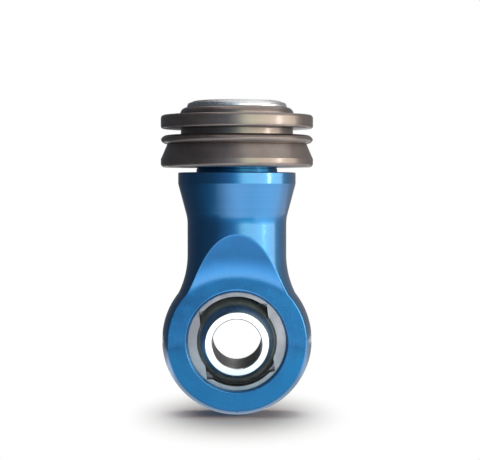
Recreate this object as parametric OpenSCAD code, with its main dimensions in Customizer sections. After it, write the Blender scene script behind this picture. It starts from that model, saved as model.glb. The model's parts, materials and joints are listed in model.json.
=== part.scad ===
// End eye of a shock absorber: a turned eye body with milled cheeks, a spherical bearing
// with loading slots, and a grooved closure held on the body's stem by a flat-headed screw.
// The origin is the centre of the bearing. The bolt hole runs along Y, the closure is up Z.

/* [Spherical bearing] */
// Diameter of the bolt hole through the ball
bolt_d = 12.7; // [11:0.1:13]
// Chamfer at each mouth of the bolt hole
bolt_chamfer = 0.6; // [0.2:0.1:0.8]
// Length of the ball between its two end faces
ball_w = 15.875; // [15.4:0.025:16.4]
// Diameter of the ball's spherical surface
ball_d = 22.6; // [22:0.1:23]
// Tilt of the ball in its race, front end down
ball_tilt = 4; // [-8:0.5:8]
// Outside diameter of the outer race
race_d = 25.4; // [25:0.1:26.4]
// Width of the outer race
race_w = 12.7; // [11.5:0.1:13.5]
// Chamfer round the ball at each face of the race
race_chamfer = 0.8; // [0.3:0.1:1]
// Width of each loading slot
slot_w = 17.4; // [16.8:0.1:18]
// Turn of the two loading slots from upright, seen from the front
slot_turn = 7; // [-45:1:45]

/* [Eye body] */
// How much less the round eye measures across than the closure, which it follows
eye_undersize = 0.6; // [0:0.1:1.2]
// Thickness of the eye between its two milled cheeks
eye_w = 15.3; // [14.5:0.1:16]
// Chamfer at each mouth of the bearing's seat
seat_chamfer = 0.35; // [0.1:0.05:0.6]
// Radius of the arc that bounds each cheek's flat at the top
cheek_r = 21.6; // [20.5:0.1:22.5]
// Depth of that arc's centre below the bearing's centre
cheek_drop = 6.4; // [5.5:0.1:7]
// Radius of the curve where the cheek starts to run out
runout_r = 13.2; // [10:0.2:16]
// Slope of the run-out against the cheek
runout_slope = 31; // [26:1:36]
// Diameter of the neck
neck_d = 25.4; // [24.8:0.1:26]
// Radius of the flare from the neck to the eye
flare_r = 22.5; // [21.8:0.1:24]
// Angle above the middle of the round eye at which the flare leaves it
flare_start = 38.6; // [35:0.2:42]
// Angle of the taper between the neck and the collar
taper_slope = 15; // [12:1:18]
// Diameter of the collar
collar_d = 30.2; // [29:0.1:32]
// Height of the collar's lower edge
collar_bottom = 40.1; // [39.5:0.1:41]
// Height of the collar's straight side
collar_h = 2.9; // [2:0.1:4]
// Diameter of the shoulder that the closure stands on
shoulder_d = 20.8; // [19:0.1:24]
// Height of that shoulder over the collar
shoulder_h = 1.3; // [0.8:0.1:2]

/* [Closure] */
// Largest diameter of the closure
closure_d = 39.1; // [38:0.1:41]
// Height of the straight band at the bottom
band_h = 2.1; // [1.2:0.1:2.6]
// Height of the tapered wall above the band
wall_h = 3.85; // [3:0.05:5]
// Diameter of the tapered wall at its top
wall_top_d = 35.8; // [34:0.1:37]
// Thickness of the lip at its root
lip_h = 2.3; // [1.6:0.1:3]
// Depth of the lip's curved edge, from its root to its nose
lip_depth = 1.65; // [1.5:0.05:2.2]
// Height of the deep groove above the lip
groove_h = 1.65; // [1.2:0.05:2.6]
// Diameter of the deep groove's floor
groove_d = 28.8; // [27:0.1:31]
// Thickness of the top flange
flange_h = 3.5; // [2.6:0.1:4.5]
// Diameter of the boss on the top flange
boss_d = 29.2; // [28.2:0.1:31]
// Height of the boss over the top flange
boss_h = 1.95; // [1.4:0.05:2.4]

/* [Retaining screw] */
// Diameter of the screw's flat head
head_d = 25.6; // [24:0.1:26.5]
// Thickness of the screw's head
head_h = 1.65; // [1.4:0.05:2.4]
// Width of the shallow chamfer round the head's top
head_chamfer = 1.8; // [0.8:0.1:2.4]
// Diameter of the screw's shank
shank_d = 8; // [7:0.5:9]
// Length of the screw's shank below its head
shank_l = 22; // [16:1:26]
// Width of the six-sided socket across its flats
socket_w = 5; // [4:0.5:5]
// Depth of the six-sided socket
socket_h = 4; // [2.5:0.5:6]

/* [Hidden] */
$fn = 96;

// Radial clearance of the ball in the race
ball_clearance = 0.05;
// Clearance round the ball in a loading slot
slot_clearance = 0.15;
// Diameter and section of the ring that seals the stem in the closure
stem_d = 16;
seal_section = 1.78;
seal_groove_h = 2.4;
// Ledge of the closure under the screw's head, and the gap left over the stem,
// so that the screw clamps the closure on the shoulder
ledge_h = 2.7;
stem_gap = 0.25;
// Clearance of the screw's shank in the closure
shank_clearance = 0.25;
// Room under the end of the screw, and the drill's point below it
hole_room = 2;
drill_point = 2.3;
// Small broken edges
edge = 0.3;
band_chamfer = 0.6;
flange_round = 0.8;
// Reach of the tools that cut past a surface
past = 1;

ball_r = ball_d / 2;
cavity_r = ball_r + ball_clearance;
race_r = race_d / 2;
slot_r = ball_r + slot_clearance;
eye_r = (closure_d - eye_undersize) / 2;
neck_r = neck_d / 2;
collar_r = collar_d / 2;
shoulder_r = shoulder_d / 2;
stem_r = stem_d / 2;
// The flare's arc touches the neck at its top, and its disc starts where it lies deepest in the eye
flare_reach = neck_r + flare_r - eye_r * cos(flare_start);
flare_top = eye_r * sin(flare_start) + sqrt(flare_r * flare_r - flare_reach * flare_reach);
flare_bottom = eye_r * flare_top / norm([neck_r + flare_r, flare_top]);
taper_bottom = collar_bottom - (collar_r - neck_r) / tan(taper_slope);
collar_top = collar_bottom + collar_h;
closure_bottom = collar_top + shoulder_h;

closure_r = closure_d / 2;
groove_r = groove_d / 2;
boss_r = boss_d / 2;
band_top = closure_bottom + band_h;
wall_top = band_top + wall_h;
lip_half = lip_h / 2;
lip_arc_r = (lip_depth * lip_depth + lip_half * lip_half) / lip_h;
lip_top = wall_top + lip_h;
groove_top = lip_top + groove_h;
flange_top = groove_top + flange_h;
boss_top = flange_top + boss_h;

stem_top = boss_top - ledge_h - stem_gap;
seal_r = stem_r - seal_section / 2;
seal_z = (closure_bottom + stem_top) / 2;
head_r = head_d / 2;
shank_r = shank_d / 2;
head_top = boss_top + head_h;

// A round stretch of an outline: the slice of a disc between two angles
module pie(centre, r, from_angle, to_angle) {
    middle = (from_angle + to_angle) / 2;
    reach = 2 * r;
    translate(centre)
        intersection() {
            circle(r = r);
            polygon([
                [0, 0],
                reach * [cos(from_angle), sin(from_angle)],
                reach * [cos(middle), sin(middle)],
                reach * [cos(to_angle), sin(to_angle)]
            ]);
        }
}

// Outline of the turned eye body, from the round eye up to the stem
module turned_outline() {
    intersection() {
        circle(r = eye_r);
        translate([0, -eye_r])
            square([eye_r, 2 * eye_r]);
    }
    difference() {
        translate([0, flare_bottom])
            square([eye_r, flare_top - flare_bottom]);
        translate([neck_r + flare_r, flare_top])
            circle(r = flare_r);
    }
    polygon([
        [0, flare_top],
        [neck_r, flare_top],
        [neck_r, taper_bottom],
        [collar_r, collar_bottom],
        [collar_r, collar_top - edge],
        [collar_r - edge, collar_top],
        [shoulder_r, collar_top],
        [shoulder_r, closure_bottom - shoulder_h / 3],
        [shoulder_r - edge / 2, closure_bottom - shoulder_h / 3],
        [shoulder_r - edge / 2, closure_bottom],
        [stem_r, closure_bottom],
        [stem_r, stem_top - edge],
        [stem_r - edge, stem_top],
        [0, stem_top]
    ]);
}

// Outline of the metal that the milling takes off one cheek: flat, curve, then straight slope
module runout_outline() {
    curve_end = cheek_r + runout_r * sin(runout_slope);
    curve_rise = runout_r * (1 - cos(runout_slope));
    depth = eye_r;
    polygon([
        [0, 0],
        [cheek_r, 0],
        [curve_end, curve_rise],
        [curve_end + (depth - curve_rise) / tan(runout_slope), depth],
        [0, depth]
    ]);
    intersection() {
        translate([cheek_r, runout_r])
            circle(r = runout_r);
        polygon([[cheek_r, 0], [curve_end, curve_rise], [curve_end, -past], [cheek_r, -past]]);
    }
}

module cheek_cut() {
    translate([0, 0, -cheek_drop])
        rotate([90, 0, 0])
            translate([0, 0, eye_w / 2])
                rotate_extrude()
                    runout_outline();
}

// Through hole along Y with a chamfer at both mouths
module cross_hole(r, width, chamfer) {
    rotate([90, 0, 0]) {
        cylinder(r = r, h = width + 2 * past, center = true);
        for (side = [0, 180])
            rotate([side, 0, 0])
                translate([0, 0, width / 2 - chamfer])
                    cylinder(r1 = r, r2 = r + chamfer + past, h = chamfer + past);
    }
}

module eye_body() {
    hole_bottom = boss_top - shank_l - hole_room;
    color("steelblue")
        difference() {
            rotate_extrude()
                turned_outline();
            cheek_cut();
            mirror([0, 1, 0])
                cheek_cut();
            cross_hole(race_r, eye_w, seat_chamfer);
            translate([0, 0, hole_bottom])
                cylinder(r = shank_r, h = stem_top - hole_bottom + past);
            translate([0, 0, hole_bottom - drill_point])
                cylinder(r1 = 0, r2 = shank_r, h = drill_point);
            translate([0, 0, seal_z - seal_groove_h / 2])
                difference() {
                    cylinder(r = stem_r + past, h = seal_groove_h);
                    cylinder(r = stem_r - seal_section, h = seal_groove_h);
                }
        }
}

// The slot through which the ball goes in sideways, from the front face to the middle
module loading_slot() {
    intersection() {
        rotate([90, 0, 0])
            cylinder(r = slot_r, h = race_w / 2 + past);
        translate([-slot_w / 2, -race_w / 2 - past, -race_r])
            cube([slot_w, race_w / 2 + past, race_d]);
    }
}

module bearing_race() {
    face_r = sqrt(cavity_r * cavity_r - race_w * race_w / 4);
    color("silver")
        difference() {
            rotate([90, 0, 0]) {
                cylinder(r = race_r, h = race_w - 2 * edge, center = true);
                for (side = [0, 180])
                    rotate([side, 0, 0])
                        translate([0, 0, race_w / 2 - edge])
                            cylinder(r1 = race_r, r2 = race_r - edge, h = edge);
            }
            sphere(r = cavity_r);
            cross_hole(face_r, race_w, race_chamfer);
            rotate([0, -slot_turn, 0])
                loading_slot();
        }
}

module bearing_ball() {
    half_w = ball_w / 2;
    color("gainsboro")
        rotate([ball_tilt, 0, 0])
            difference() {
                rotate([90, 0, 0])
                    rotate_extrude()
                        intersection() {
                            circle(r = ball_r);
                            translate([0, -half_w])
                                square([ball_r, ball_w]);
                        }
                cross_hole(bolt_d / 2, ball_w, bolt_chamfer);
            }
}

// Outline of the lip: an arc from its upper root and one from its lower root meet at its nose
module lip_outline() {
    root = closure_r - lip_depth;
    intersection() {
        translate([root, lip_top - lip_arc_r])
            circle(r = lip_arc_r);
        translate([root, wall_top + lip_arc_r])
            circle(r = lip_arc_r);
        translate([root, wall_top])
            square([lip_depth, lip_h]);
    }
}

// Outer form of the closure: band, tapered wall, lip, deep groove, flange and boss
module closure_outline() {
    boss_flat_r = boss_r - boss_h;
    flange_flat_r = closure_r - flange_round;
    polygon([
        [0, closure_bottom],
        [closure_r - band_chamfer, closure_bottom],
        [closure_r, closure_bottom + band_chamfer],
        [closure_r, band_top],
        [wall_top_d / 2, wall_top],
        [closure_r - lip_depth, wall_top],
        [closure_r - lip_depth, lip_top],
        [groove_r, lip_top],
        [groove_r, groove_top],
        [closure_r - edge, groove_top],
        [closure_r, groove_top + edge],
        [closure_r, flange_top - flange_round],
        [flange_flat_r, flange_top],
        [boss_r, flange_top],
        [boss_flat_r, boss_top],
        [0, boss_top]
    ]);
    lip_outline();
    pie([flange_flat_r, flange_top - flange_round], flange_round, 0, 90);
    pie([boss_flat_r, flange_top], boss_h, 0, 90);
}

module closure() {
    color("rosybrown")
        difference() {
            rotate_extrude()
                closure_outline();
            translate([0, 0, closure_bottom - past])
                cylinder(r = stem_r, h = stem_top + stem_gap - closure_bottom + past);
            cylinder(r = shank_r + shank_clearance, h = boss_top + past);
        }
}

module stem_seal() {
    color("dimgray")
        translate([0, 0, seal_z])
            rotate_extrude()
                translate([seal_r, 0])
                    circle(d = seal_section);
}

module retaining_screw() {
    rim_h = head_h / 4;
    color("lightgray")
        difference() {
            union() {
                rotate_extrude()
                    polygon([
                        [0, boss_top],
                        [head_r - edge / 2, boss_top],
                        [head_r, boss_top + edge / 2],
                        [head_r, boss_top + rim_h],
                        [head_r - edge, head_top - 2 * edge],
                        [head_r - head_chamfer, head_top],
                        [0, head_top]
                    ]);
                translate([0, 0, boss_top - shank_l])
                    cylinder(r = shank_r, h = shank_l);
            }
            translate([0, 0, head_top - socket_h])
                cylinder(d = socket_w / cos(30), h = socket_h + past, $fn = 6);
        }
}

eye_body();
bearing_race();
bearing_ball();
closure();
stem_seal();
retaining_screw();
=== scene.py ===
import json
import math

import bmesh
import bpy
import mathutils
import numpy as np
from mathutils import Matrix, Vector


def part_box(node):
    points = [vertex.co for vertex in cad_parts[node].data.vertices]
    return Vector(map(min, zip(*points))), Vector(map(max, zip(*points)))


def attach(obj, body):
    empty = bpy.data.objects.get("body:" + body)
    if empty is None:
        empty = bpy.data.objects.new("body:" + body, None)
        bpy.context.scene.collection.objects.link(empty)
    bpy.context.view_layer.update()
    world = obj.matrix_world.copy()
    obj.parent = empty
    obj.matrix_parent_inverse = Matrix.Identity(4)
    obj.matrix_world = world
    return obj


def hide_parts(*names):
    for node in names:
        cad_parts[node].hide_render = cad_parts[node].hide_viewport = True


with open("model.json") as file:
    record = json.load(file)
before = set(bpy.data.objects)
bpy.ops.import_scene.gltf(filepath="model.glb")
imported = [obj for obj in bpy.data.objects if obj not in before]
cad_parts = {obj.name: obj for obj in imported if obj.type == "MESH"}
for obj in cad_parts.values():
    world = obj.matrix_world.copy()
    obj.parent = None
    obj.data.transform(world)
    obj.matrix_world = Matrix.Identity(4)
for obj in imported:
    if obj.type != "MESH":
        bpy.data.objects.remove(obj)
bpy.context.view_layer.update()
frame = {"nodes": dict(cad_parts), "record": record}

mm = 0.001  # every size below is in millimetres, every mesh in metres
mounts = {m["name"]: m for m in frame["record"]["mounts"]}


def nodeBox(node):
    # lowest and highest corner of a CAD node, in millimetres
    low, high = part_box(node)
    return np.array(low) / mm, np.array(high) / mm


# outlines: each is an array of (distance from the axis, place along the axis)

def roundedOutline(corners, steps=7):
    # corners are (radius, place, rounding); an arc tangent to both sides takes each rounded corner
    spots = np.array([c[:2] for c in corners], float)
    rounds = [c[2] if len(c) > 2 else 0.0 for c in corners]
    made = []
    for i, spot in enumerate(spots):
        if rounds[i] == 0 or i in (0, len(spots) - 1):
            made.append(spot[None])
            continue
        back, ahead = spots[i - 1] - spot, spots[i + 1] - spot
        back, ahead = back / np.linalg.norm(back), ahead / np.linalg.norm(ahead)
        half = math.acos(np.clip(back @ ahead, -1, 1)) / 2
        middle = (back + ahead) / np.linalg.norm(back + ahead)
        centre = spot + middle * rounds[i] / math.sin(half)
        start = spot + back * rounds[i] / math.tan(half) - centre
        end = spot + ahead * rounds[i] / math.tan(half) - centre
        a, b = math.atan2(start[1], start[0]), math.atan2(end[1], end[0])
        b = a + (b - a + math.pi) % (2 * math.pi) - math.pi  # the short way round
        angle = np.linspace(a, b, steps)
        made.append(centre + rounds[i] * np.stack([np.cos(angle), np.sin(angle)], 1))
    return np.concatenate(made)


def supported(outline, longest=0.9, close=0.04):
    # adds points along long straight stretches, the first and last close to the ends
    made = [outline[:1]]
    for start, end in zip(outline[:-1], outline[1:]):
        length = np.linalg.norm(end - start)
        if length > 3 * close:
            inner = np.linspace(close / length, 1 - close / length, int(length / longest) + 2)
            made.append(start + inner[:, None] * (end - start))
        made.append(end[None])
    return np.concatenate(made)


def turned(outline, segments=256, axis="z"):
    # each point of the outline goes once round the axis: (r cos a, r sin a, h)
    angle = np.linspace(0, 2 * math.pi, segments + 1)
    ring = outline[:, 0, None] * np.stack([np.cos(angle), np.sin(angle)])[:, None]
    along = np.broadcast_to(outline[:, 1, None], ring[0].shape)
    if axis == "y":
        return np.stack([ring[0], along, ring[1]], 2)
    return np.stack([ring[0], ring[1], along], 2)


# meshes

def pieceFrom(name, patches, marks=None, kinds=None):
    # patches are grids of points, rows by columns by xyz; they are joined where their points meet
    # marks say how much of each patch is turned, and kinds which of the piece's finishes it has
    points, faces, values, finish, first = [], [], [], [], 0
    for i, grid in enumerate(patches):
        rows, columns = grid.shape[:2]
        index = np.arange(rows * columns).reshape(rows, columns) + first
        corners = [index[:-1, :-1], index[:-1, 1:], index[1:, 1:], index[1:, :-1]]
        faces.append(np.stack(corners, 2).reshape(-1, 4))
        finish.append(np.full(len(faces[-1]), kinds[i] if kinds else 0))
        points.append(grid.reshape(-1, 3))
        values.append(np.full(rows * columns, marks[i] if marks else 1.0))
        first += rows * columns
    mesh = bpy.data.meshes.new(name)
    mesh.from_pydata(np.concatenate(points) * mm, [], np.concatenate(faces))
    mesh.attributes.new("turned", "FLOAT", "POINT").data.foreach_set("value", np.concatenate(values))
    mesh.polygons.foreach_set("material_index", np.concatenate(finish))
    work = bmesh.new()
    work.from_mesh(mesh)
    bmesh.ops.remove_doubles(work, verts=work.verts, dist=0.002 * mm)
    bmesh.ops.recalc_face_normals(work, faces=work.faces)
    work.to_mesh(mesh)
    work.free()
    mesh.shade_smooth()
    piece = bpy.data.objects.new(name, mesh)
    bpy.context.scene.collection.objects.link(piece)
    print("made", name, len(mesh.polygons), "faces")
    return piece


# effects shared by the finishes

def newGroup(name, inputs, outputs):
    group = bpy.data.node_groups.new(name, "ShaderNodeTree")
    for label, kind, default in inputs:
        socket = group.interface.new_socket(label, in_out="INPUT", socket_type=kind)
        if default is not None:
            socket.default_value = default
    for label, kind in outputs:
        group.interface.new_socket(label, in_out="OUTPUT", socket_type=kind)
    return group, group.nodes.new("NodeGroupInput"), group.nodes.new("NodeGroupOutput")


def mathNode(tree, operation, a, b=None, c=None):
    node = tree.nodes.new("ShaderNodeMath")
    node.operation = operation
    for socket, value in zip(node.inputs, (a, b, c)):
        if isinstance(value, (int, float)):
            socket.default_value = value
        elif value is not None:
            tree.links.new(value, socket)
    return node.outputs[0]


def makeToolLines():
    # fine lines left by a turning tool: noise that changes only along one distance
    group, given, made = newGroup(
        "toolLines",
        [("Place", "NodeSocketFloat", 0.0), ("Pitch", "NodeSocketFloat", 0.0002)],
        [("Height", "NodeSocketFloat"), ("Bands", "NodeSocketFloat")])
    step = mathNode(group, "DIVIDE", given.outputs["Place"], given.outputs["Pitch"])
    fine = group.nodes.new("ShaderNodeTexNoise")
    fine.noise_dimensions = "1D"
    fine.inputs["Scale"].default_value = 1.0
    fine.inputs["Detail"].default_value = 2.0
    group.links.new(step, fine.inputs["W"])
    broad = group.nodes.new("ShaderNodeTexNoise")
    broad.noise_dimensions = "1D"
    broad.inputs["Scale"].default_value = 0.12
    broad.inputs["Detail"].default_value = 3.0
    group.links.new(step, broad.inputs["W"])
    group.links.new(fine.outputs["Fac"], made.inputs["Height"])
    group.links.new(broad.outputs["Fac"], made.inputs["Bands"])
    return group


def makeFineGrain():
    # the faint cloudiness and pores of an etched, anodised or plated skin
    group, given, made = newGroup(
        "fineGrain",
        [("Place", "NodeSocketVector", None), ("Grain", "NodeSocketFloat", 0.0003)],
        [("Height", "NodeSocketFloat"), ("Clouds", "NodeSocketFloat")])
    size = mathNode(group, "DIVIDE", 1.0, given.outputs["Grain"])
    grain = group.nodes.new("ShaderNodeTexNoise")
    grain.inputs["Detail"].default_value = 3.0
    grain.inputs["Roughness"].default_value = 0.6
    group.links.new(given.outputs["Place"], grain.inputs["Vector"])
    group.links.new(size, grain.inputs["Scale"])
    clouds = group.nodes.new("ShaderNodeTexNoise")
    clouds.inputs["Scale"].default_value = 260.0
    clouds.inputs["Detail"].default_value = 2.0
    group.links.new(given.outputs["Place"], clouds.inputs["Vector"])
    group.links.new(grain.outputs["Fac"], made.inputs["Height"])
    group.links.new(clouds.outputs["Fac"], made.inputs["Clouds"])
    return group


toolLines = makeToolLines()
fineGrain = makeFineGrain()


def newFinish(name, settings):
    # a metal finish with its plain numbers set on the shader; returns what its patterns need
    material = bpy.data.materials.new(name)
    material.use_nodes = True
    tree = material.node_tree
    shader = tree.nodes["Principled BSDF"]
    for label, value in settings.items():
        shader.inputs[label].default_value = value
    place = tree.nodes.new("ShaderNodeTexCoord").outputs["Object"]
    apart = tree.nodes.new("ShaderNodeSeparateXYZ")
    tree.links.new(place, apart.inputs[0])
    return material, tree, shader, place, apart


def groupNode(tree, group, **values):
    node = tree.nodes.new("ShaderNodeGroup")
    node.node_tree = group
    for label, value in values.items():
        if isinstance(value, (int, float)):
            node.inputs[label].default_value = value
        else:
            tree.links.new(value, node.inputs[label])
    return node.outputs


def distanceFrom(tree, a, b):
    # distance from the axis that is square to both given coordinates
    return mathNode(tree, "SQRT", mathNode(tree, "ADD", mathNode(tree, "MULTIPLY", a, a),
                                           mathNode(tree, "MULTIPLY", b, b)))


def bumpFrom(tree, shader, height, distance, strength=1.0):
    bump = tree.nodes.new("ShaderNodeBump")
    bump.inputs["Strength"].default_value = strength
    bump.inputs["Distance"].default_value = distance
    tree.links.new(height, bump.inputs["Height"])
    tree.links.new(bump.outputs["Normal"], shader.inputs["Normal"])
    tree.links.new(bump.outputs["Normal"], shader.inputs["Coat Normal"])


def rampBetween(tree, factor, low, high, lowColour, highColour):
    # a colour that goes from one shade to another as the factor goes from low to high
    ramp = tree.nodes.new("ShaderNodeValToRGB")
    ramp.color_ramp.elements[0].position = low
    ramp.color_ramp.elements[0].color = (*lowColour, 1)
    ramp.color_ramp.elements[1].position = high
    ramp.color_ramp.elements[1].color = (*highColour, 1)
    tree.links.new(factor, ramp.inputs["Fac"])
    return ramp.outputs["Color"]


def valueBetween(tree, factor, low, high, start=0.3, end=0.7):
    # a number that goes from low to high as the factor goes from start to end, where noise mostly lies
    ranged = tree.nodes.new("ShaderNodeMapRange")
    tree.links.new(factor, ranged.inputs["Value"])
    for label, value in zip(("From Min", "From Max", "To Min", "To Max"), (start, end, low, high)):
        ranged.inputs[label].default_value = value
    return ranged.outputs["Result"]


def mixOf(tree, factor, first, second):
    # two colours mixed by a factor; the second may be a plain colour
    mix = tree.nodes.new("ShaderNodeMix")
    mix.data_type = "RGBA"
    factorSocket, firstSocket, secondSocket = mix.inputs[0], mix.inputs[6], mix.inputs[7]
    tree.links.new(factor, factorSocket)
    tree.links.new(first, firstSocket)
    if isinstance(second, tuple):
        secondSocket.default_value = (*second, 1)
    else:
        tree.links.new(second, secondSocket)
    return mix.outputs[2]


def skinFrom(tree, shader, pattern, clouds, height, look):
    # base colour, roughness and bump of a plain metal skin
    colour = rampBetween(tree, pattern, *look["contrast"], look["dark"], look["light"])
    tree.links.new(colour, shader.inputs["Base Color"])
    tree.links.new(valueBetween(tree, clouds, *look["roughness"]), shader.inputs["Roughness"])
    bumpFrom(tree, shader, height, look["lineDepth"], look["lineStrength"])


# finishes

def blueAnodising():
    look = {
        "milledDark": (0.010, 0.200, 0.49), "milledLight": (0.014, 0.225, 0.54),
        "turnedDark": (0.012, 0.178, 0.43), "turnedLight": (0.016, 0.190, 0.46),
        "linePitch": 0.12 * mm, "lineDepth": 0.002 * mm, "grain": 0.25 * mm, "grainShare": 0.015,
        "contrast": (0.3, 0.7), "roughness": (0.24, 0.30),
        "milledCoat": 1.0, "turnedCoat": 0.95, "turnedRougher": 0.07, "stretch": 0.4,
        # painted shade: the shoulder under the closure is darkened in colour and coat
        "shoulderFrom": 43.02 * mm, "shoulderShade": 0.7, "shoulderCoat": 0.15,
    }
    material, tree, shader, place, apart = newFinish("blueAnodising", {
        "Metallic": 1.0, "Coat Roughness": 0.14, "Coat IOR": 1.6})
    turnedPart = tree.nodes.new("ShaderNodeAttribute")
    turnedPart.attribute_name = "turned"
    lines = groupNode(tree, toolLines, Place=apart.outputs["Z"], Pitch=look["linePitch"])
    grain = groupNode(tree, fineGrain, Place=place, Grain=look["grain"])
    milled = rampBetween(tree, grain["Clouds"], *look["contrast"],
                         look["milledDark"], look["milledLight"])
    turnedSkin = rampBetween(tree, lines["Bands"], *look["contrast"],
                             look["turnedDark"], look["turnedLight"])
    skin = mixOf(tree, turnedPart.outputs["Fac"], milled, turnedSkin)
    # painted shade: the shoulder in the gap under the closure gets a darker colour and a weaker coat,
    # where the closure shades it
    onShoulder = mathNode(tree, "GREATER_THAN", apart.outputs["Z"], look["shoulderFrom"])
    gapShade = mathNode(tree, "MULTIPLY_ADD", onShoulder, look["shoulderShade"] - 1, 1.0)
    gapShadedSkin = tree.nodes.new("ShaderNodeVectorMath")
    gapShadedSkin.operation = "SCALE"
    tree.links.new(skin, gapShadedSkin.inputs[0])
    tree.links.new(gapShade, gapShadedSkin.inputs["Scale"])
    tree.links.new(gapShadedSkin.outputs[0], shader.inputs["Base Color"])
    rough = valueBetween(tree, grain["Clouds"], *look["roughness"])
    rougher = mathNode(tree, "MULTIPLY_ADD", turnedPart.outputs["Fac"], look["turnedRougher"], rough)
    tree.links.new(rougher, shader.inputs["Roughness"])
    coatGain = look["turnedCoat"] - look["milledCoat"]
    coat = mathNode(tree, "MULTIPLY_ADD", turnedPart.outputs["Fac"], coatGain, look["milledCoat"])
    gapShadedCoat = mathNode(tree, "MULTIPLY_ADD", onShoulder, look["shoulderCoat"] - 1, 1.0)
    tree.links.new(mathNode(tree, "MULTIPLY", coat, gapShadedCoat), shader.inputs["Coat Weight"])
    # turning smears reflections along the axis: the shine stretches square to the tool's path
    around = tree.nodes.new("ShaderNodeTangent")
    around.direction_type, around.axis = "RADIAL", "Z"
    tree.links.new(around.outputs[0], shader.inputs["Tangent"])
    shader.inputs["Anisotropic Rotation"].default_value = 0.25  # a quarter turn
    tree.links.new(mathNode(tree, "MULTIPLY", turnedPart.outputs["Fac"], look["stretch"]),
                   shader.inputs["Anisotropic"])
    onTurned = mathNode(tree, "MULTIPLY", lines["Height"], turnedPart.outputs["Fac"])
    height = mathNode(tree, "MULTIPLY_ADD", grain["Height"], look["grainShare"], onTurned)
    bumpFrom(tree, shader, height, look["lineDepth"])
    return material


def hardAnodising():
    look = {
        "dark": (0.190, 0.152, 0.140), "light": (0.246, 0.198, 0.184),
        "linePitch": 0.18 * mm, "lineDepth": 0.004 * mm, "lineStrength": 0.6,
        "grain": 0.2 * mm, "grainShare": 0.4, "contrast": (0.35, 0.65), "roughness": (0.30, 0.38),
    }
    material, tree, shader, place, apart = newFinish("hardAnodising", {
        "Metallic": 0.85, "Coat Weight": 0.5, "Coat Roughness": 0.18, "Coat IOR": 1.6})
    aside = distanceFrom(tree, apart.outputs["X"], apart.outputs["Y"])
    along = mathNode(tree, "ADD", apart.outputs["Z"], aside)
    lines = groupNode(tree, toolLines, Place=along, Pitch=look["linePitch"])
    grain = groupNode(tree, fineGrain, Place=place, Grain=look["grain"])
    halfClouds = mathNode(tree, "MULTIPLY", grain["Clouds"], 0.5)
    shade = mathNode(tree, "MULTIPLY_ADD", lines["Bands"], 0.5, halfClouds)
    height = mathNode(tree, "MULTIPLY_ADD", grain["Height"], look["grainShare"], lines["Height"])
    skinFrom(tree, shader, shade, grain["Clouds"], height, look)
    return material


def groundSteel():
    look = {
        "dark": (0.41, 0.40, 0.43), "light": (0.52, 0.51, 0.54),
        "linePitch": 0.12 * mm, "lineDepth": 0.004 * mm, "lineStrength": 0.7,
        "grain": 0.3 * mm, "grainShare": 0.5, "contrast": (0.35, 0.65), "roughness": (0.28, 0.36),
    }
    material, tree, shader, place, apart = newFinish("groundSteel", {"Metallic": 1.0})
    aside = distanceFrom(tree, apart.outputs["X"], apart.outputs["Z"])
    along = mathNode(tree, "ADD", apart.outputs["Y"], aside)
    lines = groupNode(tree, toolLines, Place=along, Pitch=look["linePitch"])
    grain = groupNode(tree, fineGrain, Place=place, Grain=look["grain"])
    height = mathNode(tree, "MULTIPLY_ADD", grain["Height"], look["grainShare"], lines["Height"])
    skinFrom(tree, shader, grain["Clouds"], grain["Clouds"], height, look)
    return material


def polishedSteel():
    look = {
        # polished steel made lighter than bare steel: the extra lightness is painted glare on the faces
        "dark": (0.86, 0.87, 0.88), "light": (0.92, 0.93, 0.94),
        "linePitch": 0.1 * mm, "lineDepth": 0.001 * mm, "lineStrength": 0.5,
        "grain": 0.5 * mm, "contrast": (0.35, 0.65), "roughness": (0.1, 0.16),
    }
    material, tree, shader, place, apart = newFinish("polishedSteel", {"Metallic": 1.0})
    lines = groupNode(tree, toolLines, Place=apart.outputs["Y"], Pitch=look["linePitch"])
    grain = groupNode(tree, fineGrain, Place=place, Grain=look["grain"])
    skinFrom(tree, shader, grain["Clouds"], grain["Clouds"], lines["Height"], look)
    return material


def satinBall():
    look = {
        # the outer colour is painted light on the belt seen in the shaded slots
        "dark": (0.10, 0.15, 0.20), "light": (0.14, 0.20, 0.26), "outer": (0.50, 0.56, 0.54),
        "outerFrom": 9.2 * mm, "outerAt": 9.8 * mm,
        "linePitch": 0.2 * mm, "lineDepth": 0.002 * mm, "lineStrength": 0.6,
        "grain": 0.3 * mm, "contrast": (0.35, 0.65), "roughness": (0.26, 0.34),
    }
    material, tree, shader, place, apart = newFinish("satinBall", {"Metallic": 0.75})
    lines = groupNode(tree, toolLines, Place=apart.outputs["Y"], Pitch=look["linePitch"])
    grain = groupNode(tree, fineGrain, Place=place, Grain=look["grain"])
    skinFrom(tree, shader, grain["Clouds"], grain["Clouds"], lines["Height"], look)
    # painted light: the belt that runs in the race, seen in the slots, is lighter than the skin round the
    # faces, so the shaded slots read lighter
    fromAxis = distanceFrom(tree, apart.outputs["X"], apart.outputs["Z"])
    onBelt = valueBetween(tree, fromAxis, 0.0, 1.0, look["outerFrom"], look["outerAt"])
    skin = shader.inputs["Base Color"].links[0].from_socket
    tree.links.new(mixOf(tree, onBelt, skin, look["outer"]), shader.inputs["Base Color"])
    return material


def honedBore():
    look = {
        "dark": (0.10, 0.10, 0.105), "light": (0.17, 0.17, 0.175),
        "linePitch": 0.15 * mm, "lineDepth": 0.004 * mm, "lineStrength": 0.7,
        "grain": 0.3 * mm, "contrast": (0.35, 0.65), "roughness": (0.36, 0.46),
    }
    material, tree, shader, place, apart = newFinish("honedBore", {"Metallic": 1.0})
    lines = groupNode(tree, toolLines, Place=apart.outputs["Y"], Pitch=look["linePitch"])
    grain = groupNode(tree, fineGrain, Place=place, Grain=look["grain"])
    skinFrom(tree, shader, lines["Bands"], grain["Clouds"], lines["Height"], look)
    return material


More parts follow.
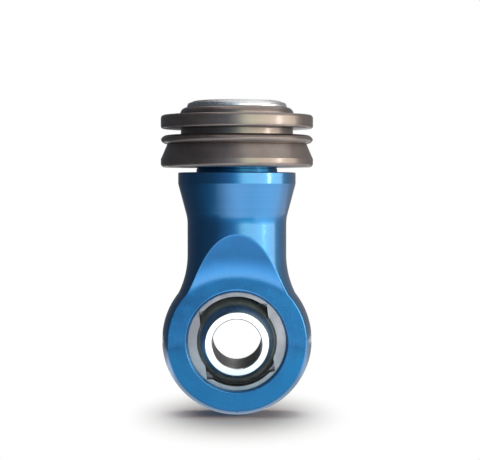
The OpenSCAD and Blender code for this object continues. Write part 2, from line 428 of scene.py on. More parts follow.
def zincPlate():
    look = {
        "dark": (0.72, 0.73, 0.74), "light": (0.86, 0.87, 0.88),
        "lineDepth": 0.006 * mm, "lineStrength": 0.5,
        "grain": 0.55 * mm, "contrast": (0.35, 0.65), "roughness": (0.24, 0.34),
    }
    material, tree, shader, place, _ = newFinish("zincPlate", {"Metallic": 1.0})
    grain = groupNode(tree, fineGrain, Place=place, Grain=look["grain"])
    skinFrom(tree, shader, grain["Height"], grain["Height"], grain["Height"], look)
    return material


def sealRubber():
    look = {
        "dark": (0.012, 0.012, 0.013), "light": (0.03, 0.03, 0.032), "contrast": (0.3, 0.7),
        "roughness": 0.55, "grain": 0.2 * mm, "grainDepth": 0.01 * mm, "grainStrength": 0.6,
    }
    material, tree, shader, place, _ = newFinish("sealRubber", {"Roughness": look["roughness"]})
    grain = groupNode(tree, fineGrain, Place=place, Grain=look["grain"])
    colour = rampBetween(tree, grain["Clouds"], *look["contrast"], look["dark"], look["light"])
    tree.links.new(colour, shader.inputs["Base Color"])
    bumpFrom(tree, shader, grain["Height"], look["grainDepth"], look["grainStrength"])
    return material


finishes = {
    "blue": blueAnodising(), "brown": hardAnodising(), "race": groundSteel(), "face": polishedSteel(),
    "ball": satinBall(), "bore": honedBore(), "zinc": zincPlate(), "rubber": sealRubber(),
}
print("finishes ready")


def dress(piece, body, node, slot, *names):
    # gives a piece its finishes and its body in the frame, and hides the CAD node that it stands for
    for name in names:
        piece.data.materials.append(finishes[name])
    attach(piece, body)
    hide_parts(node)


# the eye body: a turned outline cut by a milled cheek on each side

eyeLow, eyeHigh = nodeBox("eye_body")
raceHigh = nodeBox("bearing_race")[1]
closureLow, closureHigh = nodeBox("closure")

eye = {
    "radius": -eyeLow[2], "halfWidth": 7.65, "seatRadius": raceHigh[0], "seatChamfer": 0.35,
    "cheekRadius": 21.6, "cheekDrop": 6.4, "runoutRadius": 13.2, "runoutSlope": math.radians(31),
    "neckRadius": 12.7, "flareRadius": 22.5, "flareStart": math.radians(38.6),
    "taperSlope": math.radians(15), "taperRounding": 11.0, "taperEdge": 0.12,
    "collarRadius": 15.1, "collarBottom": 40.1, "collarTop": 43.0, "collarRounding": 0.3,
    "shoulderRadius": 10.4, "shoulderStep": 0.15, "stepRounding": 0.1,
    "footRounding": 0.07, "stepBelow": (0.45, 0.4),
    "stemRadius": 8.0, "stemRounding": 0.3, "holeRadius": 4.0, "holeBottom": 35.65, "drillPoint": 2.3,
    "sealBottom": 49.3, "sealHeight": 2.4, "sealDepth": 1.78,
    "seatLip": (0.06, 0.045),  # the seat's chamfer starts with this small round
    "edgeWidth": 0.25, "edgeSteps": 5,
    # how finely the surfaces are divided
    "roundRows": 150, "roundSweep": 2.0, "archRows": 190, "capRows": 14,
    "across": 72, "fanRings": 26, "fanSpread": 1.15,
}


def turnedRadius(height, e):
    # radius of the turned outline below the taper: sphere, then the flare's arc, then the neck
    knee = e["radius"] * math.sin(e["flareStart"])
    across = e["neckRadius"] + e["flareRadius"] - e["radius"] * math.cos(e["flareStart"])
    flareTop = knee + math.sqrt(e["flareRadius"] ** 2 - across ** 2)
    sphere = np.sqrt(np.maximum(e["radius"] ** 2 - height ** 2, 0))
    below = np.clip(flareTop - height, 0, e["flareRadius"])
    arc = e["neckRadius"] + e["flareRadius"] - np.sqrt(e["flareRadius"] ** 2 - below ** 2)
    return np.where(height < knee, sphere, arc)


def cheekDepth(x, z, e):
    # distance of the milled surface from the middle plane: flat, then an arc, then a straight slope
    apart = np.hypot(x, z + e["cheekDrop"]) - e["cheekRadius"]
    r, slope = e["runoutRadius"], e["runoutSlope"]
    arc = r - np.sqrt(np.maximum(r * r - np.clip(apart, 0, r) ** 2, 0))
    straight = r * (1 - math.cos(slope)) + (apart - r * math.sin(slope)) * math.tan(slope)
    return e["halfWidth"] + np.where(apart < 0, 0, np.where(apart < r * math.sin(slope), arc, straight))


def cheekEdge(height, e):
    # angle from the X axis at which the cheek cuts the turned ring at each height, by halving
    radius = turnedRadius(height, e)
    low, high = np.zeros_like(height), np.full_like(height, math.pi / 2)
    for _ in range(48):
        middle = (low + high) / 2
        outside = radius * np.sin(middle) > cheekDepth(radius * np.cos(middle), height, e)
        low, high = np.where(outside, low, middle), np.where(outside, middle, high)
    return high


def unit(v):
    # vectors of length one in the same directions
    return v / np.maximum(np.linalg.norm(v, axis=-1, keepdims=True), 1e-12)


def cheekRows(e):
    # heights of the rows that the cheek cuts, closer together near both points of its outline
    flat = math.sqrt(e["radius"] ** 2 - e["halfWidth"] ** 2)  # radius of the cheek's round edge
    rise = e["neckRadius"] - e["halfWidth"] - e["runoutRadius"] * (1 - math.cos(e["runoutSlope"]))
    peak = (e["cheekRadius"] - e["cheekDrop"] + e["runoutRadius"] * math.sin(e["runoutSlope"])
            + rise / math.tan(e["runoutSlope"]))  # height of the arch's point on the neck
    low = -flat * np.cos(np.linspace(0, e["roundSweep"], e["roundRows"]))
    top = peak - (peak - low[-1]) * (1 - np.linspace(0, 1, e["archRows"])[1:]) ** 2
    return np.concatenate([low, top])


def edgeSides(e, rows):
    # the cheek's sharp edge, and the two lines beside it between which it is rounded
    angle = cheekEdge(rows, e)
    angle[0] = angle[-1] = math.pi / 2
    radius = turnedRadius(rows, e)
    edge = np.stack([radius * np.cos(angle), -radius * np.sin(angle), rows], 1)

    # directions away from the edge on the cheek and on the turned side
    tangent = unit(np.gradient(edge, axis=0))
    tangent[0], tangent[-1] = (1, 0, 0), (-1, 0, 0)
    small = 0.01  # step for the slopes
    x = edge[:, 0]
    slopeX = (cheekDepth(x + small, rows, e) - cheekDepth(x - small, rows, e)) / (2 * small)
    slopeZ = (cheekDepth(x, rows + small, e) - cheekDepth(x, rows - small, e)) / (2 * small)
    cheekNormal = unit(np.stack([-slopeX, -np.ones_like(rows), -slopeZ], 1))
    widening = (turnedRadius(rows + small, e) - turnedRadius(rows - small, e)) / (2 * small)
    sideNormal = unit(np.stack([np.cos(angle), -np.sin(angle), -widening], 1))
    onCheek = unit(np.cross(cheekNormal, tangent))
    insideHeight = 6  # a height well inside the cheek
    inward = onCheek[:, 2] * np.sign(insideHeight - rows) - onCheek[:, 0]
    onCheek *= np.where(inward < 0, -1, 1)[:, None]
    onSide = unit(np.cross(sideNormal, tangent))
    onSide *= np.where(onSide[:, 1] < 0, -1, 1)[:, None]
    onSide[0], onSide[-1] = (0, 0, -1), (0, 0, 1)
    onCheek[0], onCheek[-1] = (0, 0, 1), unit(np.array([0.0, -math.tan(e["runoutSlope"]), 1.0])) * -1
    return edge, edge + e["edgeWidth"] * onCheek, edge + e["edgeWidth"] * onSide


def upperOutline(e, start):
    # the turned outline from the top of the neck over the collar and the stem into its tapped hole
    taperFoot = e["collarBottom"] - (e["collarRadius"] - e["neckRadius"]) / math.tan(e["taperSlope"])
    seat, stepped = closureLow[2], e["shoulderRadius"] - e["shoulderStep"]
    sealTop, sealRadius = e["sealBottom"] + e["sealHeight"], e["stemRadius"] - e["sealDepth"]
    return supported(roundedOutline([
        (e["neckRadius"], start),
        (e["neckRadius"], taperFoot, e["taperRounding"]),
        (e["collarRadius"], e["collarBottom"], e["taperEdge"]),
        (e["collarRadius"], e["collarTop"], e["collarRounding"]),
        (e["shoulderRadius"], e["collarTop"], e["stepRounding"]),
        (e["shoulderRadius"], seat - e["stepBelow"][0], e["footRounding"]),
        (stepped, seat - e["stepBelow"][1]),
        (stepped, seat),
        (e["stemRadius"], seat),
        (e["stemRadius"], e["sealBottom"]),
        (sealRadius, e["sealBottom"]),
        (sealRadius, sealTop),
        (e["stemRadius"], sealTop),
        (e["stemRadius"], eyeHigh[2], e["stemRounding"]),
        (e["holeRadius"], eyeHigh[2]),
        (e["holeRadius"], e["holeBottom"]),
        (0.0, e["holeBottom"] - e["drillPoint"]),
    ], steps=9))


def makeEyeBody(e):
    rows = cheekRows(e)
    edge, cheekSide, turnedSide = edgeSides(e, rows)

    # the rounded edge: a curve from one side to the other that is drawn towards the sharp edge
    t = np.linspace(0, 1, e["edgeSteps"])[None, :, None]
    strip = ((1 - t) ** 2 * cheekSide[:, None] + 2 * t * (1 - t) * edge[:, None]
             + t ** 2 * turnedSide[:, None])

    # the turned side between the two cheeks, one ring or part of a ring for each height
    sideRows = turnedSide[:, 2]
    start = np.arctan2(turnedSide[:, 1], turnedSide[:, 0])
    start[0] = start[-1] = -math.pi / 2
    cap = sideRows[0] + (-e["radius"] - sideRows[0]) * np.linspace(1, 0, e["capRows"]) ** 0.5
    above = upperOutline(e, sideRows[-1])[1:]
    heights = np.concatenate([cap[:-1], sideRows, above[:, 1]])
    radii = np.concatenate([turnedRadius(cap[:-1], e), turnedRadius(sideRows, e), above[:, 0]])
    quarter = math.pi / 2
    starts = np.concatenate([np.full(len(cap) - 1, -quarter), start, np.full(len(above), -quarter)])
    angles = -starts[:, None] * np.linspace(-1, 1, e["across"] + 1)
    side = np.stack([radii[:, None] * np.cos(angles), radii[:, None] * np.sin(angles),
                     np.broadcast_to(heights[:, None], angles.shape)], 2)
    cutRows = slice(len(cap) - 1, len(cap) - 1 + len(rows))
    side[cutRows, 0] = turnedSide
    side[cutRows, -1] = turnedSide * (1, -1, 1)

    # the cheek, from the mouth of the bearing's seat out to its edge
    mouth = e["seatRadius"] + e["seatChamfer"]
    turn = np.arctan2(cheekSide[:, 0], cheekSide[:, 2])
    inner = mouth * np.stack([np.sin(turn), np.cos(turn)], 1)
    out = (np.linspace(0, 1, e["fanRings"]) ** e["fanSpread"])[None, :, None]
    plan = inner[:, None] * (1 - out) + cheekSide[:, None, ::2] * out
    fan = np.stack([plan[..., 0], -cheekDepth(plan[..., 0], plan[..., 1], e), plan[..., 1]], 2)
    fan[:, -1] = cheekSide

    # the bearing's seat through the eye
    inwards, deeper = e["seatLip"]
    half = np.array([[mouth, e["halfWidth"]], [mouth - inwards, e["halfWidth"] - deeper],
                     [e["seatRadius"], e["halfWidth"] - e["seatChamfer"]]])
    seat = np.concatenate([half * (1, -1), [[e["seatRadius"], 0]], half[::-1]])
    hole = np.stack([seat[None, :, 0] * np.sin(turn)[:, None],
                     np.broadcast_to(seat[None, :, 1], (len(turn), len(seat))),
                     seat[None, :, 0] * np.cos(turn)[:, None]], 2)

    halves = []
    for mirrored in (1, -1):
        halves += [side * (mirrored, 1, 1), hole * (mirrored, 1, 1)]
        for back in (1, -1):
            halves += [fan * (mirrored, back, 1), strip * (mirrored, back, 1)]
    # the side is turned, the hole and the cheeks are milled, the rounded edges are halfway between
    return pieceFrom("eyeBody", halves, [1, 0, 0, 0.5, 0, 0.5] * 2)


dress(makeEyeBody(eye), "housing", "eye_body", "anodised_blue", "blue")


# the closure: one turned outline

closure = {
    "radius": closureHigh[0], "bottom": closureLow[2], "bandHeight": 2.1, "wallHeight": 3.85,
    "wallTopRadius": 17.9, "lipHeight": 2.3, "lipDepth": 1.65, "noseRounding": 0.35,
    "grooveHeight": 1.65, "grooveRadius": 14.4, "flangeHeight": 3.5, "flangeRounding": (0.7, 0.8),
    "bandRounding": 1.0, "bossRadius": 14.6, "bossTop": closureHigh[2], "bossRounding": 0.9,
    "boreRadius": 8.0, "boreRounding": 0.2, "boreTop": 56.95, "screwHoleRadius": 4.25,
    "wallRounding": (0.15, 0.1), "grooveRounding": 0.12, "cornerRounding": 0.15,
}


def lipOutline(c, bottom):
    # two arcs from the lip's root that meet at its nose
    half, depth = c["lipHeight"] / 2, c["lipDepth"]
    reach = (depth ** 2 + half ** 2) / (2 * half)
    swing = math.atan2(reach - half, depth)
    angle = np.linspace(-math.pi / 2, -swing, 10)
    lower = np.stack([c["radius"] - depth + reach * np.cos(angle),
                      bottom + reach * (1 + np.sin(angle))], 1)
    upper = lower[-2::-1] * (1, -1) + (0, 2 * bottom + c["lipHeight"])
    return [*lower[:-1], (*lower[-1], c["noseRounding"]), *upper]


def makeClosure(c):
    bandTop = c["bottom"] + c["bandHeight"]
    wallTop = bandTop + c["wallHeight"]
    lipTop = wallTop + c["lipHeight"]
    grooveTop = lipTop + c["grooveHeight"]
    flangeTop = grooveTop + c["flangeHeight"]
    bossRounding = c["bossRounding"] * (c["bossTop"] - flangeTop)
    outline = roundedOutline([
        (c["boreRadius"], c["boreTop"]),
        (c["boreRadius"], c["bottom"], c["boreRounding"]),
        (c["radius"], c["bottom"], c["bandRounding"]),
        (c["radius"], bandTop, c["wallRounding"][0]),
        (c["wallTopRadius"], wallTop, c["wallRounding"][1]),
        *lipOutline(c, wallTop),
        (c["grooveRadius"], lipTop, c["grooveRounding"]),
        (c["grooveRadius"], grooveTop, c["grooveRounding"]),
        (c["radius"], grooveTop, c["flangeRounding"][0]),
        (c["radius"], flangeTop, c["flangeRounding"][1]),
        (c["bossRadius"], flangeTop, c["cornerRounding"]),
        (c["bossRadius"], c["bossTop"], bossRounding),
        (c["screwHoleRadius"], c["bossTop"], c["cornerRounding"]),
        (c["screwHoleRadius"], c["boreTop"]),
        (c["boreRadius"], c["boreTop"]),
    ], steps=9)
    return pieceFrom("groovedClosure", [turned(supported(outline))])


dress(makeClosure(closure), "housing", "closure", "hard_anodised", "brown")


# the bearing's race: turned about Y, with two loading slots from its front face to its middle

race = {
    "radius": raceHigh[0], "halfWidth": raceHigh[1], "cavityRadius": 11.35, "chamfer": 0.8,
    "chamferDepth": 0.75, "slotRadius": 11.45, "slotWidth": 17.4, "slotTurn": math.radians(7),
    "cutterPast": 0.5, "edge": 0.3, "across": 288,
}


def makeRace(r):
    face = math.sqrt(r["cavityRadius"] ** 2 - r["halfWidth"] ** 2)
    mouth = face + r["chamfer"]
    chamferEnd = r["halfWidth"] - r["chamferDepth"]
    reach = math.asin(chamferEnd / r["cavityRadius"])
    bow = np.linspace(-reach, reach, 60)
    cavity = r["cavityRadius"] * np.stack([np.cos(bow), np.sin(bow)], 1)
    outer = roundedOutline([
        (mouth, r["halfWidth"]), (r["radius"], r["halfWidth"], r["edge"]),
        (r["radius"], -r["halfWidth"], r["edge"]), (mouth, -r["halfWidth"])])
    outline = np.concatenate([cavity, supported(outer), cavity[:1]])
    piece = pieceFrom("bearingRace", [turned(outline, r["across"], "y")])

    # the cutter for the slots: the ball's round between two parallel walls
    half, depth = r["slotWidth"] / 2, r["halfWidth"] + r["cutterPast"]
    swing = math.acos(half / r["slotRadius"])
    arc = np.linspace(-swing, swing, 90)
    top = r["slotRadius"] * np.stack([np.sin(arc), np.cos(arc)], 1)
    top[0, 0], top[-1, 0] = -half, half
    ring = np.concatenate([top, -top, top[:1]])
    c, s = math.cos(-r["slotTurn"]), math.sin(-r["slotTurn"])
    ring = ring @ np.array([[c, -s], [s, c]])
    wall = np.stack([np.stack([ring[:, 0] * k, np.full(len(ring), y), ring[:, 1] * k], 1)
                     for k, y in ((0, -depth), (1, -depth), (1, 0.0), (0, 0.0))])
    cutter = pieceFrom("slotCutter", [wall])
    cut = piece.modifiers.new("slots", "BOOLEAN")
    cut.object, cut.operation, cut.solver = cutter, "DIFFERENCE", "EXACT"
    bpy.context.view_layer.update()
    shown = piece.evaluated_get(bpy.context.evaluated_depsgraph_get())
    mesh = bpy.data.meshes.new_from_object(shown)
    piece.modifiers.clear()
    piece.data = mesh
    bpy.data.objects.remove(cutter)
    mesh.shade_smooth()
    mesh.set_sharp_from_angle(angle=math.radians(24))
    print("slots cut,", len(mesh.polygons), "faces")
    return piece


dress(makeRace(race), "housing", "bearing_race", "race_steel", "race")


# the ball: turned about its own bolt hole, which leans as the mount says

ball = {
    "radius": nodeBox("bearing_ball")[1][0], "boltRadius": mounts["bolt_bore"]["dims"]["r_mm"],
    "halfWidth": 7.9375, "chamfer": 0.2, "lean": math.asin(-mounts["bolt_bore"]["axis"][2]),
    "edge": 0.14, "roundEnd": 0.1, "faceInside": 0.4,  # the bright face goes a little into the hole
    "across": 224,
}


def makeBall(b):
    face = math.sqrt(b["radius"] ** 2 - b["halfWidth"] ** 2)
    bow = np.linspace(-1, 1, 80) * math.asin((b["halfWidth"] - b["roundEnd"]) / b["radius"])
    sphere = b["radius"] * np.stack([np.cos(bow), np.sin(bow)], 1)
    mouth = b["halfWidth"] - b["chamfer"]
    boreEnd = mouth - b["faceInside"]
    front = supported(roundedOutline([
        (sphere[-1, 0], sphere[-1, 1]), (face, b["halfWidth"], b["edge"]),
        (b["boltRadius"] + b["chamfer"], b["halfWidth"]),
        (b["boltRadius"], mouth), (b["boltRadius"], boreEnd)]), longest=2)
    bore = supported(np.array([[b["boltRadius"], -boreEnd], [b["boltRadius"], boreEnd]]))
    c, s = math.cos(b["lean"]), math.sin(b["lean"])
    lean = np.array([[1, 0, 0], [0, c, s], [0, -s, c]])
    lines = (sphere, front, front * (1, -1), bore)
    surfaces = [turned(line, b["across"], "y") @ lean for line in lines]
    return pieceFrom("bearingBall", surfaces, kinds=[0, 1, 1, 2])


dress(makeBall(ball), "ball", "bearing_ball", "ball_steel", "ball", "face", "bore")


# the retaining screw: a flat turned head with a six-sided socket, and a plain shank

screwLow, screwHigh = nodeBox("retaining_screw")
screw = {
    "headRadius": screwHigh[0], "headBottom": closureHigh[2], "top": screwHigh[2], "end": screwLow[2],
    "headEdge": 0.3, "headChamfer": 1.8, "headRounding": (0.12, 0.3, 0.3, 0.8),
    "shankRadius": 4.0, "shankRounding": (0.4, 0.1),
    "socketAcross": 5.0, "socketDepth": 4.0, "socketChamfer": 0.25,
    "socketFloor": ((0.6, 0.3), (0.0, 0.8)),  # share of the ring's radius, and how much deeper
    "across": 240,
}


def makeScrew(s):
    h = s["top"] - s["headBottom"]
    low, foot, edge, brim = s["headRounding"]
    outline = supported(roundedOutline([
        (0.0, s["end"]),
        (s["shankRadius"], s["end"], s["shankRounding"][0]),
        (s["shankRadius"], s["headBottom"], s["shankRounding"][1]),
        (s["headRadius"], s["headBottom"], low),
        (s["headRadius"], s["headBottom"] + h / 4, foot),
        (s["headRadius"] - s["headEdge"], s["top"] - 2 * s["headEdge"], edge),
        (s["headRadius"] - s["headChamfer"], s["top"], brim),
        (s["shankRadius"], s["top"])]))
    angle = np.linspace(0, 2 * math.pi, s["across"] + 1)
    body = turned(outline, s["across"])
    # the socket's corners stay sharp in plan: radius of a six-sided ring at each angle
    sixth = (angle + math.pi / 6) % (math.pi / 3) - math.pi / 6
    hexagon = s["socketAcross"] / 2 / np.cos(sixth)
    bottom = s["top"] - s["socketDepth"]
    rims = [(np.full_like(angle, s["shankRadius"]), s["top"]),
            (hexagon + s["socketChamfer"], s["top"]),
            (hexagon, s["top"] - s["socketChamfer"]),
            (hexagon, bottom),
            *((hexagon * share, bottom - deeper) for share, deeper in s["socketFloor"])]
    socket = np.stack([np.stack([r * np.cos(angle), r * np.sin(angle), np.full_like(angle, z)], 1)
                       for r, z in rims])
    piece = pieceFrom("retainingScrew", [body, socket])
    piece.data.set_sharp_from_angle(angle=math.radians(38))
    return piece


dress(makeScrew(screw), "housing", "retaining_screw", "screw_steel", "zinc")

frame["nodes"]["stem_seal"].material_slots[0].material = finishes["rubber"]
print("pieces ready")


# floor, cards and lamps

floorHeight = -eye["radius"] * mm


def newStage(name, points, faces):
    mesh = bpy.data.meshes.new(name)
    mesh.from_pydata(points, [], faces)
    thing = bpy.data.objects.new(name, mesh)
    bpy.context.scene.collection.objects.link(thing)
    return thing


def emptyMaterial(name):
    material = bpy.data.materials.new(name)
    material.use_nodes = True
    material.node_tree.nodes.clear()
    return material, material.node_tree


def isSeen(tree):
    # one for rays from the camera, in reflections and through glass
    path = tree.nodes.new("ShaderNodeLightPath").outputs
    return mathNode(tree, "MAXIMUM", path["Is Camera Ray"],
                    mathNode(tree, "MAXIMUM", path["Is Glossy Ray"], path["Is Transmission Ray"]))


def makeFloor():
    # pale floor that holds the shadow near the object and goes to plain white away from it; close under
    # the eye its colour is painted shade, darker and warmer
    look = {"halfSize": 3.0, "colour": (0.70, 0.69, 0.69), "underColour": (0.84, 0.56, 0.42),
            "underFrom": 0.3, "underTo": 0.014, "underSquash": 0.62,
            "whiteFrom": 0.008, "whiteAt": 0.030, "squash": 0.48}
    h, z = look["halfSize"], floorHeight
    floor = newStage("floor", [(-h, -h, z), (h, -h, z), (h, h, z), (-h, h, z)], [(0, 1, 2, 3)])
    material, tree = emptyMaterial("paleFloor")
    paint = tree.nodes.new("ShaderNodeBsdfDiffuse")
    white = tree.nodes.new("ShaderNodeEmission")
    apart = tree.nodes.new("ShaderNodeSeparateXYZ")
    tree.links.new(tree.nodes.new("ShaderNodeTexCoord").outputs["Object"], apart.inputs[0])
    reach = distanceFrom(tree, apart.outputs["X"],
                         mathNode(tree, "MULTIPLY", apart.outputs["Y"], look["squash"]))
    away = tree.nodes.new("ShaderNodeMapRange")
    away.interpolation_type = "SMOOTHSTEP"
    away.inputs["From Min"].default_value = look["whiteFrom"]
    away.inputs["From Max"].default_value = look["whiteAt"]
    tree.links.new(reach, away.inputs["Value"])
    # painted shade: the colour turns darker and warmer close under the eye, which also cancels the blue
    # light bounced off the eye
    under = distanceFrom(tree, mathNode(tree, "MULTIPLY", apart.outputs["X"], look["underSquash"]),
                         apart.outputs["Y"])
    share = mathNode(tree, "DIVIDE", under, look["underTo"])
    tree.links.new(rampBetween(tree, share, look["underFrom"], 1.0, look["underColour"], look["colour"]),
                   paint.inputs["Color"])
    mix = tree.nodes.new("ShaderNodeMixShader")
    tree.links.new(mathNode(tree, "MULTIPLY", away.outputs["Result"], isSeen(tree)), mix.inputs[0])
    tree.links.new(paint.outputs[0], mix.inputs[1])
    tree.links.new(white.outputs[0], mix.inputs[2])
    tree.links.new(mix.outputs[0], tree.nodes.new("ShaderNodeOutputMaterial").inputs["Surface"])
    floor.data.materials.append(material)


def cardFinish():
    # a card as bright as its own shade values
    material, tree = emptyMaterial("card")
    shade = tree.nodes.new("ShaderNodeAttribute")
    shade.attribute_name = "shade"
    glow = tree.nodes.new("ShaderNodeEmission")
    tree.links.new(shade.outputs["Color"], glow.inputs["Color"])
    tree.links.new(glow.outputs[0], tree.nodes.new("ShaderNodeOutputMaterial").inputs["Surface"])
    return material


cardMaterial = cardFinish()


def makeCard(name, grid, shades):
    # a card that glows with its shades and only reflections see: the cards paint the light and dark
    # mirrored in the metal; grid is rows by columns by xyz in millimetres, shades by red, green and blue,
    # where 1 is white
    rows, columns = grid.shape[:2]
    index = np.arange(rows * columns).reshape(rows, columns)
    corners = [index[:-1, :-1], index[:-1, 1:], index[1:, 1:], index[1:, :-1]]
    card = newStage(name, grid.reshape(-1, 3) * mm, np.stack(corners, 2).reshape(-1, 4))
    values = np.ones((rows, columns, 4), np.float32)
    values[..., :3] = shades
    card.data.attributes.new("shade", "FLOAT_COLOR", "POINT").data.foreach_set("color", values.ravel())
    card.data.materials.append(cardMaterial)
    card.visible_camera = card.visible_diffuse = card.visible_shadow = card.visible_transmission = False


def standingCard(name, plan, shades, bottom, top, tint=(1, 1, 1)):
    # plan is a line on the floor, given as (azimuth in degrees from the front towards +X, distance)
    plan = np.array(plan, float)
    at = np.linspace(0, len(plan) - 1, 12 * (len(plan) - 1) + 1)
    azimuth = np.radians(np.interp(at, np.arange(len(plan)), plan[:, 0]))
    distance = np.interp(at, np.arange(len(plan)), plan[:, 1])
    line = np.stack([np.sin(azimuth), -np.cos(azimuth)], 1) * distance[:, None]
    grid = np.stack([np.concatenate([line, np.full((len(at), 1), z)], 1) for z in (bottom, top)])
    shades = np.array(shades, float).reshape(len(plan), -1) * np.array(tint)
    between = [np.interp(at, np.arange(len(plan)), channel) for channel in shades.T]
    makeCard(name, grid, np.stack(between, 1)[None])


def crescentCard(look):
    # part of an upright ring in front of the eye, lighter from left to right, with a tint for each rim
    turn = np.radians(np.linspace(*look["turn"], look["columns"]))[None]
    reach = np.array(look["reach"])[:, None]
    grid = np.stack([reach * np.cos(turn), np.full((len(reach), look["columns"]), look["y"]),
                     reach * np.sin(turn)], 2)
    along = np.linspace(*look["shade"], look["columns"])[None, :, None]
    makeCard("crescentCard", grid, along * np.array(look["tints"])[:, None])


def bounceCard(look):
    # painted reflection of the floor's light and shade: lies on the floor; in front and on the right it
    # is brighter with distance, and the rest is dark
    azimuth = np.radians(np.linspace(-180, 180, look["columns"]))
    distance = np.array(look["distances"], float)
    across = np.interp(np.degrees(azimuth), look["azimuths"], look["frontShare"])
    rest = np.interp(np.degrees(azimuth), look["azimuths"], look["restShade"])
    front = np.array(look["shades"])[:, None]
    grid = np.stack([distance[:, None] * np.sin(azimuth), -distance[:, None] * np.cos(azimuth),
                     np.full((len(distance), len(azimuth)), floorHeight / mm + look["lift"])], 2)
    shade = front * across + np.array(look["restGain"])[:, None] * rest * (1 - across)
    near = np.clip((look["nearTo"] - distance) / look["nearWidth"], 0, 1)[:, None]
    tinted = np.clip((look["tintTo"] - distance) / look["tintWidth"], 0, 1)[:, None, None]
    tint = 1 + (np.array(look["nearTint"]) - 1) * tinted
    makeCard("bounceCard", grid, (shade * (1 - near) + look["nearShade"] * near)[..., None] * tint)


def makeLamp(name, shape, azimuth, elevation, distance, size, brightness, colour, aim=(0, 0, 0.02)):
    # a soft panel that faces the object; brightness is what a mirror would show of it, white being 1
    a, e = math.radians(azimuth), math.radians(elevation)
    spot = np.array([math.sin(a) * math.cos(e), -math.cos(a) * math.cos(e), math.sin(e)]) * distance
    data = bpy.data.lights.new(name, "AREA")
    data.shape, data.size, data.size_y = shape, *size
    area = size[0] * size[1] * (math.pi / 4 if shape == "ELLIPSE" else 1)
    data.energy, data.color = brightness * math.pi * area, colour
    lamp = bpy.data.objects.new(name, data)
    lamp.location = spot + np.array(aim)
    lamp.rotation_mode = "QUATERNION"
    lamp.rotation_quaternion = mathutils.Vector(-spot).to_track_quat("-Z", "Y")
    lamp.visible_camera = False
    bpy.context.scene.collection.objects.link(lamp)
    return lamp


makeFloor()
floorLevel = floorHeight / mm
coolShade = (0.86, 1.0, 1.2)
standingCard("leftCard", [(-40, 118), (-90, 76), (-140, 118), (-174, 400)], [0.12, 0.07, 0.08, 0.14],
             floorLevel, 280, coolShade)
standingCard("frontCard", [(-52, 150), (-20, 150), (7, 150)], [0.12, 0.22, 0.42],
             floorLevel, 250, coolShade)
crescentCard({
    "turn": (-168, -12), "columns": 40, "reach": [13.2, 15.6, 24], "y": -23.0, "shade": (0.64, 0.78),
    "tints": [(0.76, 0.76, 0.82), (0.5, 0.98, 1.07), (0.5, 0.98, 1.07)],
})
standingCard("edgeCard", [
    (-52, 140), (-33, 140), (-20, 140), (-10, 140), (0, 140), (5, 140), (12, 140), (29, 140),
], [
    (0.1, 0.12, 0.15), (0.15, 0.2, 0.27), (0.2, 0.27, 0.37), (0.26, 0.38, 0.52),
    (0.52, 0.7, 0.85), (1.2, 1.4, 1.34), (2.45, 2.8, 2.3), (2.7, 3.15, 2.4),
], 15, 120)
standingCard("cheekCard", [(7, 150), (20, 150), (40, 150)], [0.36, 0.30, 0.4], floorLevel, 15, coolShade)
standingCard("backCard", [(-130, 300), (-172, 300), (-179, 300), (-187, 300)], [0.08, 0.08, 0.3, 1.0],
             floorLevel, 330)
standingCard("rightCard", [(97, 260), (130, 260), (172, 320)], [0.5, 0.28, 0.2], floorLevel, 250)
standingCard("upperCard", [(7, 600), (60, 600), (120, 600), (170, 600)], [0.8, 1.35, 1.05, 0.6], 250, 595)
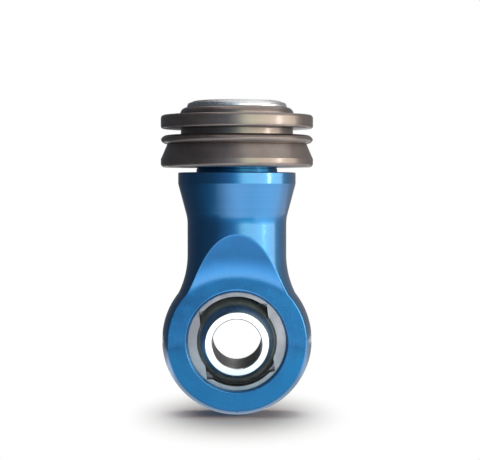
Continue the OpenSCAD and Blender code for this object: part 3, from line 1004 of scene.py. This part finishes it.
# the floor's light and shade as the metal mirrors it, painted on a glowing card
bounceCard({
    "columns": 145, "lift": 0.05,
    "distances": [1, 25, 32, 43, 61, 92, 130, 195], "shades": [0.6, 0.62, 0.7, 0.9, 1.4, 1.9, 2.15, 2.15],
    "azimuths": [-180, -165, -150, -125, -85, -60, -36, -10, 0, 30, 95, 120, 150, 165, 180],
    "frontShare": [0, 0, 0, 0, 0.02, 0.1, 0.2, 0.85, 0.95, 0.75, 0.65, 0.3, 0, 0, 0],
    "restShade": [0.3, 0.2, 0.35, 0.5, 0.5, 0.45, 0.4, 0.5, 0.5, 0.5, 0.6, 0.4, 0.25, 0.2, 0.3],
    "restGain": [1, 1, 1.1, 1.8, 2.0, 1, 1, 1], "nearShade": 0.55, "nearTo": 26, "nearWidth": 5,
    "nearTint": (0.82, 1.0, 1.14), "tintTo": 85, "tintWidth": 30,
})
makeLamp("rightPanel", "RECTANGLE", 62, 6, 0.5, (0.77, 0.25), 1.9, (1.12, 1.06, 0.8), (0, 0, 0.03))
makeLamp("edgeStrip", "RECTANGLE", 65, 2, 0.42, (0.04, 0.06), 15, (1.0, 0.97, 0.92), (0, 0, 0.045))
topLight = makeLamp("topPanel", "ELLIPSE", 180, 86.5, 0.5, (0.32, 0.32), 7.5, (1.03, 1.0, 0.96))
topLight.visible_glossy = False

world = bpy.data.worlds.new("studio")
bpy.context.scene.world = world
world.use_nodes = True
tree = world.node_tree
background = tree.nodes["Background"]
background.inputs["Color"].default_value = (1, 1, 1, 1)
dim = 0.24  # strength of the background as a light on surfaces; seen or reflected it is 1
tree.links.new(mathNode(tree, "MULTIPLY_ADD", isSeen(tree), 1 - dim, dim), background.inputs["Strength"])
print("studio ready")


# camera: the photograph's place, a little above the eye and below the closure

photo = {
    "width": 480, "height": 460, "focus": 1698.0, "objectX": 236.9, "horizonY": 190.0, "scale": 0.2574,
    "eyeLevel": 38.5,
}
camera = bpy.data.cameras.new("camera")
camera.sensor_width = 36.0
camera.lens = photo["focus"] * camera.sensor_width / photo["width"]
camera.clip_start, camera.clip_end = 0.01, 50
viewer = bpy.data.objects.new("camera", camera)
distance = photo["focus"] * photo["scale"] * mm
aside = (photo["width"] / 2 - photo["objectX"]) * photo["scale"] * mm
pitch = math.atan((photo["height"] / 2 - photo["horizonY"]) / photo["focus"])
viewer.location = (aside, -distance, photo["eyeLevel"] * mm)
viewer.rotation_euler = (math.pi / 2 - pitch, 0, 0)
bpy.context.scene.collection.objects.link(viewer)
bpy.context.scene.camera = viewer
bpy.context.scene.view_settings.view_transform = "Standard"
